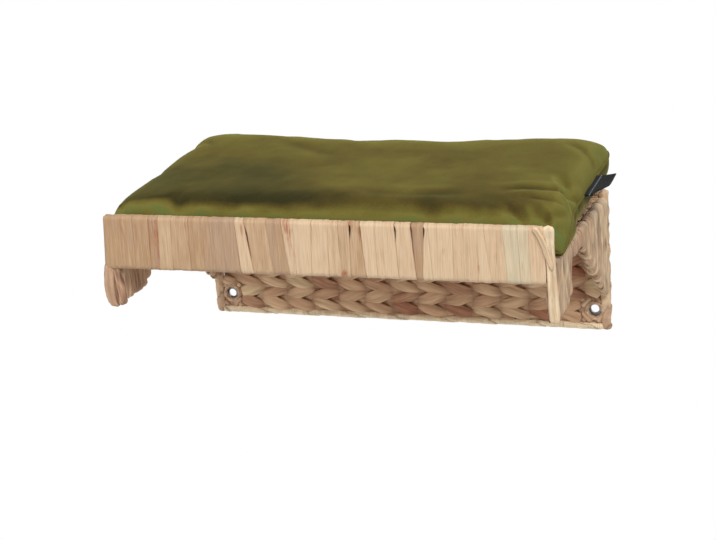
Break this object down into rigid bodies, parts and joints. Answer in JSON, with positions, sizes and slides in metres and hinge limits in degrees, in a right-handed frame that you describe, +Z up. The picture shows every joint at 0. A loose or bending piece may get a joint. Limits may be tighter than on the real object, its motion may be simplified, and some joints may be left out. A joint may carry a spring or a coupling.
{
  "type": "cat wall platform",
  "caption": "Wall shelf for a cat: a wire frame woven and wrapped in dried leaf, with a raised front apron, two front legs, braced sides and a loose velvet cushion.",
  "frame": {"origin": "centre of the pattern of four wall screw holes, in the plane of the wall", "axes": "+X to the right as seen from the room, +Y into the wall, +Z up; the apron faces -Y"},
  "size_m": [0.5312, 0.27, 0.2332],
  "materials": {
    "steel_wire": "dark satin paint",
    "steel_plate": "bare steel, dull",
    "leaf_strip": "flat dried leaf, pale and matt",
    "leaf_weave": "woven dried leaf, tan and reddish brown, matt",
    "leaf_wrap": "wound dried leaf, tan and wrinkled, matt",
    "velvet": "olive velvet with a soft sheen",
    "cushion_fill": "white fibre fill",
    "label_ribbon": "dark folded ribbon, bare"
  },
  "bodies": {
    "platform": {"back_frame": "steel_wire", "back_stakes": "steel_wire", "deck_frame": "steel_wire", "deck_bars": "steel_wire", "front_frame": "steel_wire", "wall_plates": "steel_plate", "left_leg_wires": "steel_wire", "left_front_post_wrap": "leaf_wrap", "left_leg_wrap": "leaf_wrap", "left_edge_wrap": "leaf_wrap", "left_fan_wrap": "leaf_wrap", "left_rear_post_wrap": "leaf_wrap", "right_leg_wires": "steel_wire", "right_front_post_wrap": "leaf_wrap", "right_leg_wrap": "leaf_wrap", "right_edge_wrap": "leaf_wrap", "right_fan_wrap": "leaf_wrap", "right_rear_post_wrap": "leaf_wrap", "bottom_rail_wrap": "leaf_wrap", "top_rail_wrap": "leaf_wrap", "deck_rail_wraps": "leaf_wrap", "eyelet_wraps": "leaf_wrap", "apron_strip_01": "leaf_strip", "apron_strip_02": "leaf_strip", "apron_strip_03": "leaf_strip", "apron_strip_04": "leaf_strip", "apron_strip_05": "leaf_strip", "apron_strip_06": "leaf_strip", "apron_strip_07": "leaf_strip", "apron_strip_08": "leaf_strip", "apron_strip_09": "leaf_strip", "apron_strip_10": "leaf_strip", "apron_strip_11": "leaf_strip", "apron_strip_12": "leaf_strip", "apron_strip_13": "leaf_strip", "apron_strip_14": "leaf_strip", "apron_strip_15": "leaf_strip", "apron_strip_16": "leaf_strip", "apron_strip_17": "leaf_strip", "apron_strip_18": "leaf_strip", "back_course_01": "leaf_weave", "back_course_02": "leaf_weave", "back_course_03": "leaf_weave", "back_course_04": "leaf_weave", "back_course_05": "leaf_weave", "back_course_06": "leaf_weave", "deck_course_01": "leaf_weave", "deck_course_02": "leaf_weave", "deck_course_03": "leaf_weave", "deck_course_04": "leaf_weave", "deck_course_05": "leaf_weave", "deck_course_06": "leaf_weave", "deck_course_07": "leaf_weave", "deck_course_08": "leaf_weave", "deck_course_09": "leaf_weave"},
    "cushion": {"cushion_cover": "velvet", "cushion_fill": "cushion_fill", "cushion_label": "label_ribbon"}
  },
  "joints": [
    {"name": "cushion_lift", "type": "slide", "parent": "platform", "child": "cushion", "axis": [0, 0, 1], "range_m": [0, 0.12]}
  ]
}
